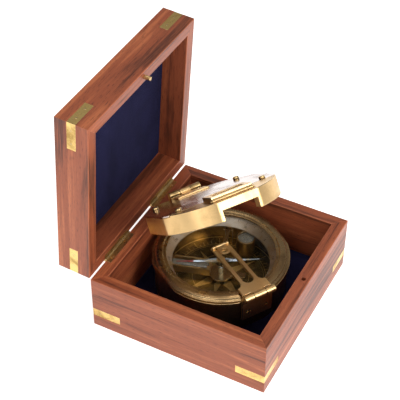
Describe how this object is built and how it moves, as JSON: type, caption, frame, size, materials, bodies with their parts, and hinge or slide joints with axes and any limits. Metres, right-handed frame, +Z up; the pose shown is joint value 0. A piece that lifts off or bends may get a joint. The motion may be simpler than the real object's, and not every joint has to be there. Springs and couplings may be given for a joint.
{
  "type": "pocket transit compass in hinged wooden case",
  "caption": "Brass pocket transit compass with hinged mirror lid, folding sighting arm and clinometer, in a velvet-lined hinged hardwood case.",
  "frame": {"origin": "middle of the case's underside, on the surface it stands on", "axes": "+X along the case's hinge edge, +Y from its front to its hinge edge, +Z up"},
  "size_m": [0.114, 0.1311, 0.1488],
  "materials": {
    "case_wood": "oiled hardwood, satin",
    "lid_wood": "oiled hardwood, satin",
    "board_wood": "oiled hardwood, satin",
    "velvet": "short cotton velvet",
    "strap_brass": "rubbed flush with the wood",
    "hinge_brass": "satin, lightly tarnished",
    "screw_brass": "satin",
    "body_brass": "turned, antique brown",
    "bezel_brass": "turned, antique",
    "bright_brass": "polished and lacquered",
    "plate_brass": "polished, reflective",
    "dial_brass": "etched and darkened",
    "silvered": "silvered scale ring",
    "needle_steel": "blued steel, pale",
    "red_paint": "enamel",
    "clear_glass": "polished",
    "level_glass": "polished, filled",
    "mirror_glass": "silvered behind"
  },
  "bodies": {
    "case_base": {"base_front_wall": "case_wood", "base_back_wall": "case_wood", "base_left_wall": "case_wood", "base_right_wall": "case_wood", "base_board": "board_wood", "base_lining": "velvet", "base_corner_straps": "strap_brass", "base_hinge_leaves": "hinge_brass", "base_hinge_screws": "screw_brass", "case_hinge_pins": "hinge_brass"},
    "case_lid": {"lid_front_wall": "lid_wood", "lid_back_wall": "lid_wood", "lid_left_wall": "lid_wood", "lid_right_wall": "lid_wood", "lid_board": "board_wood", "lid_lining": "velvet", "lid_corner_straps": "strap_brass", "catch_stud": "hinge_brass", "lid_hinge_leaves": "hinge_brass", "lid_hinge_screws": "screw_brass"},
    "compass": {"compass_body": "body_brass", "bezel": "bezel_brass", "bezel_screw": "screw_brass", "crystal": "clear_glass", "graduated_ring": "silvered", "dial_plate": "dial_brass", "level_cup": "body_brass", "level_vial": "level_glass", "cover_bracket": "hinge_brass", "cover_bracket_screws": "screw_brass", "arm_bracket": "bright_brass", "arm_bracket_screws": "screw_brass", "arm_pin": "hinge_brass", "lift_bracket": "body_brass"},
    "lift_pin": {"lift_pin": "bright_brass"},
    "lift_lever": {"lift_lever": "bezel_brass"},
    "clinometer": {"clinometer_shaft": "body_brass", "clinometer_lever": "body_brass", "clinometer_hub": "body_brass", "tube_level_holder": "bright_brass", "tube_level_vial": "level_glass", "pivot_post": "needle_steel"},
    "needle": {"needle_blade": "needle_steel", "needle_red_end": "red_paint", "needle_cap": "bright_brass", "needle_weight": "bright_brass"},
    "sighting_arm": {"sighting_arm": "bright_brass", "arm_peep_pin": "hinge_brass"},
    "arm_peep": {"arm_peep": "bright_brass"},
    "cover_pin": {"cover_pin": "hinge_brass"},
    "compass_cover": {"cover_shell": "bright_brass", "cover_plate": "plate_brass", "cover_studs": "screw_brass", "mirror": "mirror_glass", "mirror_ring": "bezel_brass", "cover_leaf": "bright_brass", "cover_sight_pin": "hinge_brass"},
    "cover_sight": {"cover_sight": "bright_brass"}
  },
  "joints": [
    {"name": "case_lid_hinge", "type": "hinge", "parent": "case_base", "child": "case_lid", "pos_m": [0, 0.0556, 0.0371], "axis": [-1, 0, 0], "range_deg": [-86.4, 8.6]},
    {"name": "compass_lift_out", "type": "slide", "parent": "case_base", "child": "compass", "axis": [0, 0, 1], "range_m": [0, 0.05]},
    {"name": "clinometer_turn", "type": "hinge", "parent": "compass", "child": "clinometer", "pos_m": [0.004, 0.003, 0.0114], "axis": [0, 0, 1], "range_deg": [-45, 45]},
    {"name": "needle_spin", "type": "hinge", "parent": "compass", "child": "needle", "pos_m": [0.004, 0.003, 0.0229], "axis": [0, 0, 1], "continuous": true},
    {"name": "lift_pin_push", "type": "slide", "parent": "compass", "child": "lift_pin", "axis": [-0.9511, -0.309, 0], "range_m": [0, 0.0015], "stiffness_N_per_m": 400, "springref_m": -0.001},
    {"name": "lift_lever_tilt", "type": "hinge", "parent": "compass", "child": "lift_lever", "pos_m": [0.03158, 0.01196, 0.0204], "axis": [-0.309, 0.9511, 0], "range_deg": [0, 1.25]},
    {"name": "sighting_arm_swing", "type": "hinge", "parent": "compass", "child": "sighting_arm", "pos_m": [-0.01836, -0.03279, 0.0327], "axis": [0.848, -0.5299, 0], "range_deg": [0, 150]},
    {"name": "arm_peep_fold", "type": "hinge", "parent": "sighting_arm", "child": "arm_peep", "pos_m": [0.00458, 0.00393, 0.03425], "axis": [-0.848, 0.5299, 0], "range_deg": [0, 90]},
    {"name": "cover_pressed_by_lid", "type": "hinge", "parent": "compass", "child": "cover_pin", "pos_m": [0.02705, 0.03989, 0.0446], "axis": [-0.848, 0.5299, 0], "range_deg": [-37.6, 3.83]},
    {"name": "compass_cover_hinge", "type": "hinge", "parent": "cover_pin", "child": "compass_cover", "pos_m": [0.02705, 0.03989, 0.0446], "axis": [-0.848, 0.5299, 0], "range_deg": [0, 50]},
    {"name": "cover_sight_fold", "type": "hinge", "parent": "compass_cover", "child": "cover_sight", "pos_m": [-0.00459, -0.00734, 0.08669], "axis": [0.848, -0.5299, 0], "range_deg": [0, 90]}
  ],
  "couplings": [
    {"joint": "cover_pressed_by_lid", "follows": "case_lid_hinge", "ratio": 0.43403},
    {"joint": "lift_lever_tilt", "follows": "lift_pin_push", "rad_per_m": 14}
  ]
}
